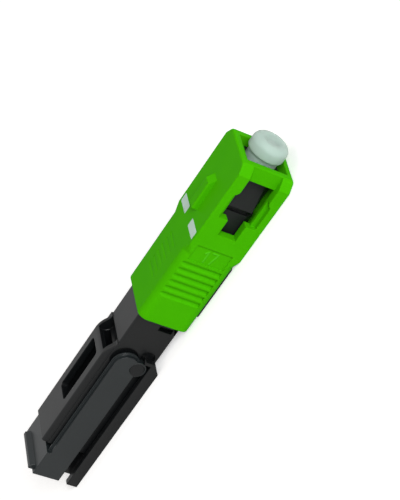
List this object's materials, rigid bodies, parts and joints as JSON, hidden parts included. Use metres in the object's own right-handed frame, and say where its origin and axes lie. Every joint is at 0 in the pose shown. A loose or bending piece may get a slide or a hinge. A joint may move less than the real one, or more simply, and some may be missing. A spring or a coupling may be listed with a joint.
{
  "type": "optical fibre connector",
  "caption": "Field-installable push-pull fibre connector with square green housing, dust cap, sprung splice and a rear cable clamp lever.",
  "frame": {"origin": "middle of the housing's front face, on the fibre's axis", "axes": "+X forward out of the ferrule, +Z the side with the key, +Y completes the set"},
  "size_m": [0.0581, 0.009, 0.0081],
  "materials": {
    "housing_green": "satin moulded green plastic",
    "frame_black": "moulded black plastic",
    "body_black": "satin moulded black plastic",
    "ceramic": "polished white zirconia",
    "metal": "bright metal",
    "holder_plastic": "pale plastic",
    "splice_plastic": "pale moulded plastic",
    "fibre_glass": "clear glass",
    "cap_plastic": "translucent white plastic"
  },
  "bodies": {
    "body": {"main_body": "body_black", "plug_frame": "frame_black", "spring_seat": "metal", "ferrule_spring": "metal", "fibre_guide": "frame_black", "base_tray": "body_black", "cable_gripper": "frame_black"},
    "housing": {"outer_shell": "housing_green"},
    "ferrule_group": {"ferrule": "ceramic", "ferrule_flange": "metal", "ferrule_holder": "holder_plastic", "stub_fibre": "fibre_glass", "splice_base": "splice_plastic", "splice_lid_front": "splice_plastic", "splice_lid_rear": "splice_plastic", "splice_clip": "metal"},
    "cap": {"dust_cap": "cap_plastic"},
    "lever": {"clamp_lever": "body_black", "clamp_jaw": "metal"},
    "slider": {"lock_slider": "frame_black"}
  },
  "joints": [
    {"name": "housing_slide", "type": "slide", "parent": "body", "child": "housing", "axis": [1, 0, 0], "range_m": [-0.0015, 0]},
    {"name": "ferrule_slide", "type": "slide", "parent": "body", "child": "ferrule_group", "axis": [1, 0, 0], "range_m": [-0.001, 0], "stiffness_N_per_m": 200, "springref_m": 0.005, "deforming": ["ferrule_spring"]},
    {"name": "cap_slide", "type": "slide", "parent": "ferrule_group", "child": "cap", "axis": [1, 0, 0], "range_m": [0, 0.01]},
    {"name": "lever_hinge", "type": "hinge", "parent": "body", "child": "lever", "pos_m": [-0.03415, 0, -0.00085], "axis": [0, 1, 0], "range_deg": [0, 40]},
    {"name": "slider_slide", "type": "slide", "parent": "body", "child": "slider", "axis": [1, 0, 0], "range_m": [0, 0.001]}
  ]
}
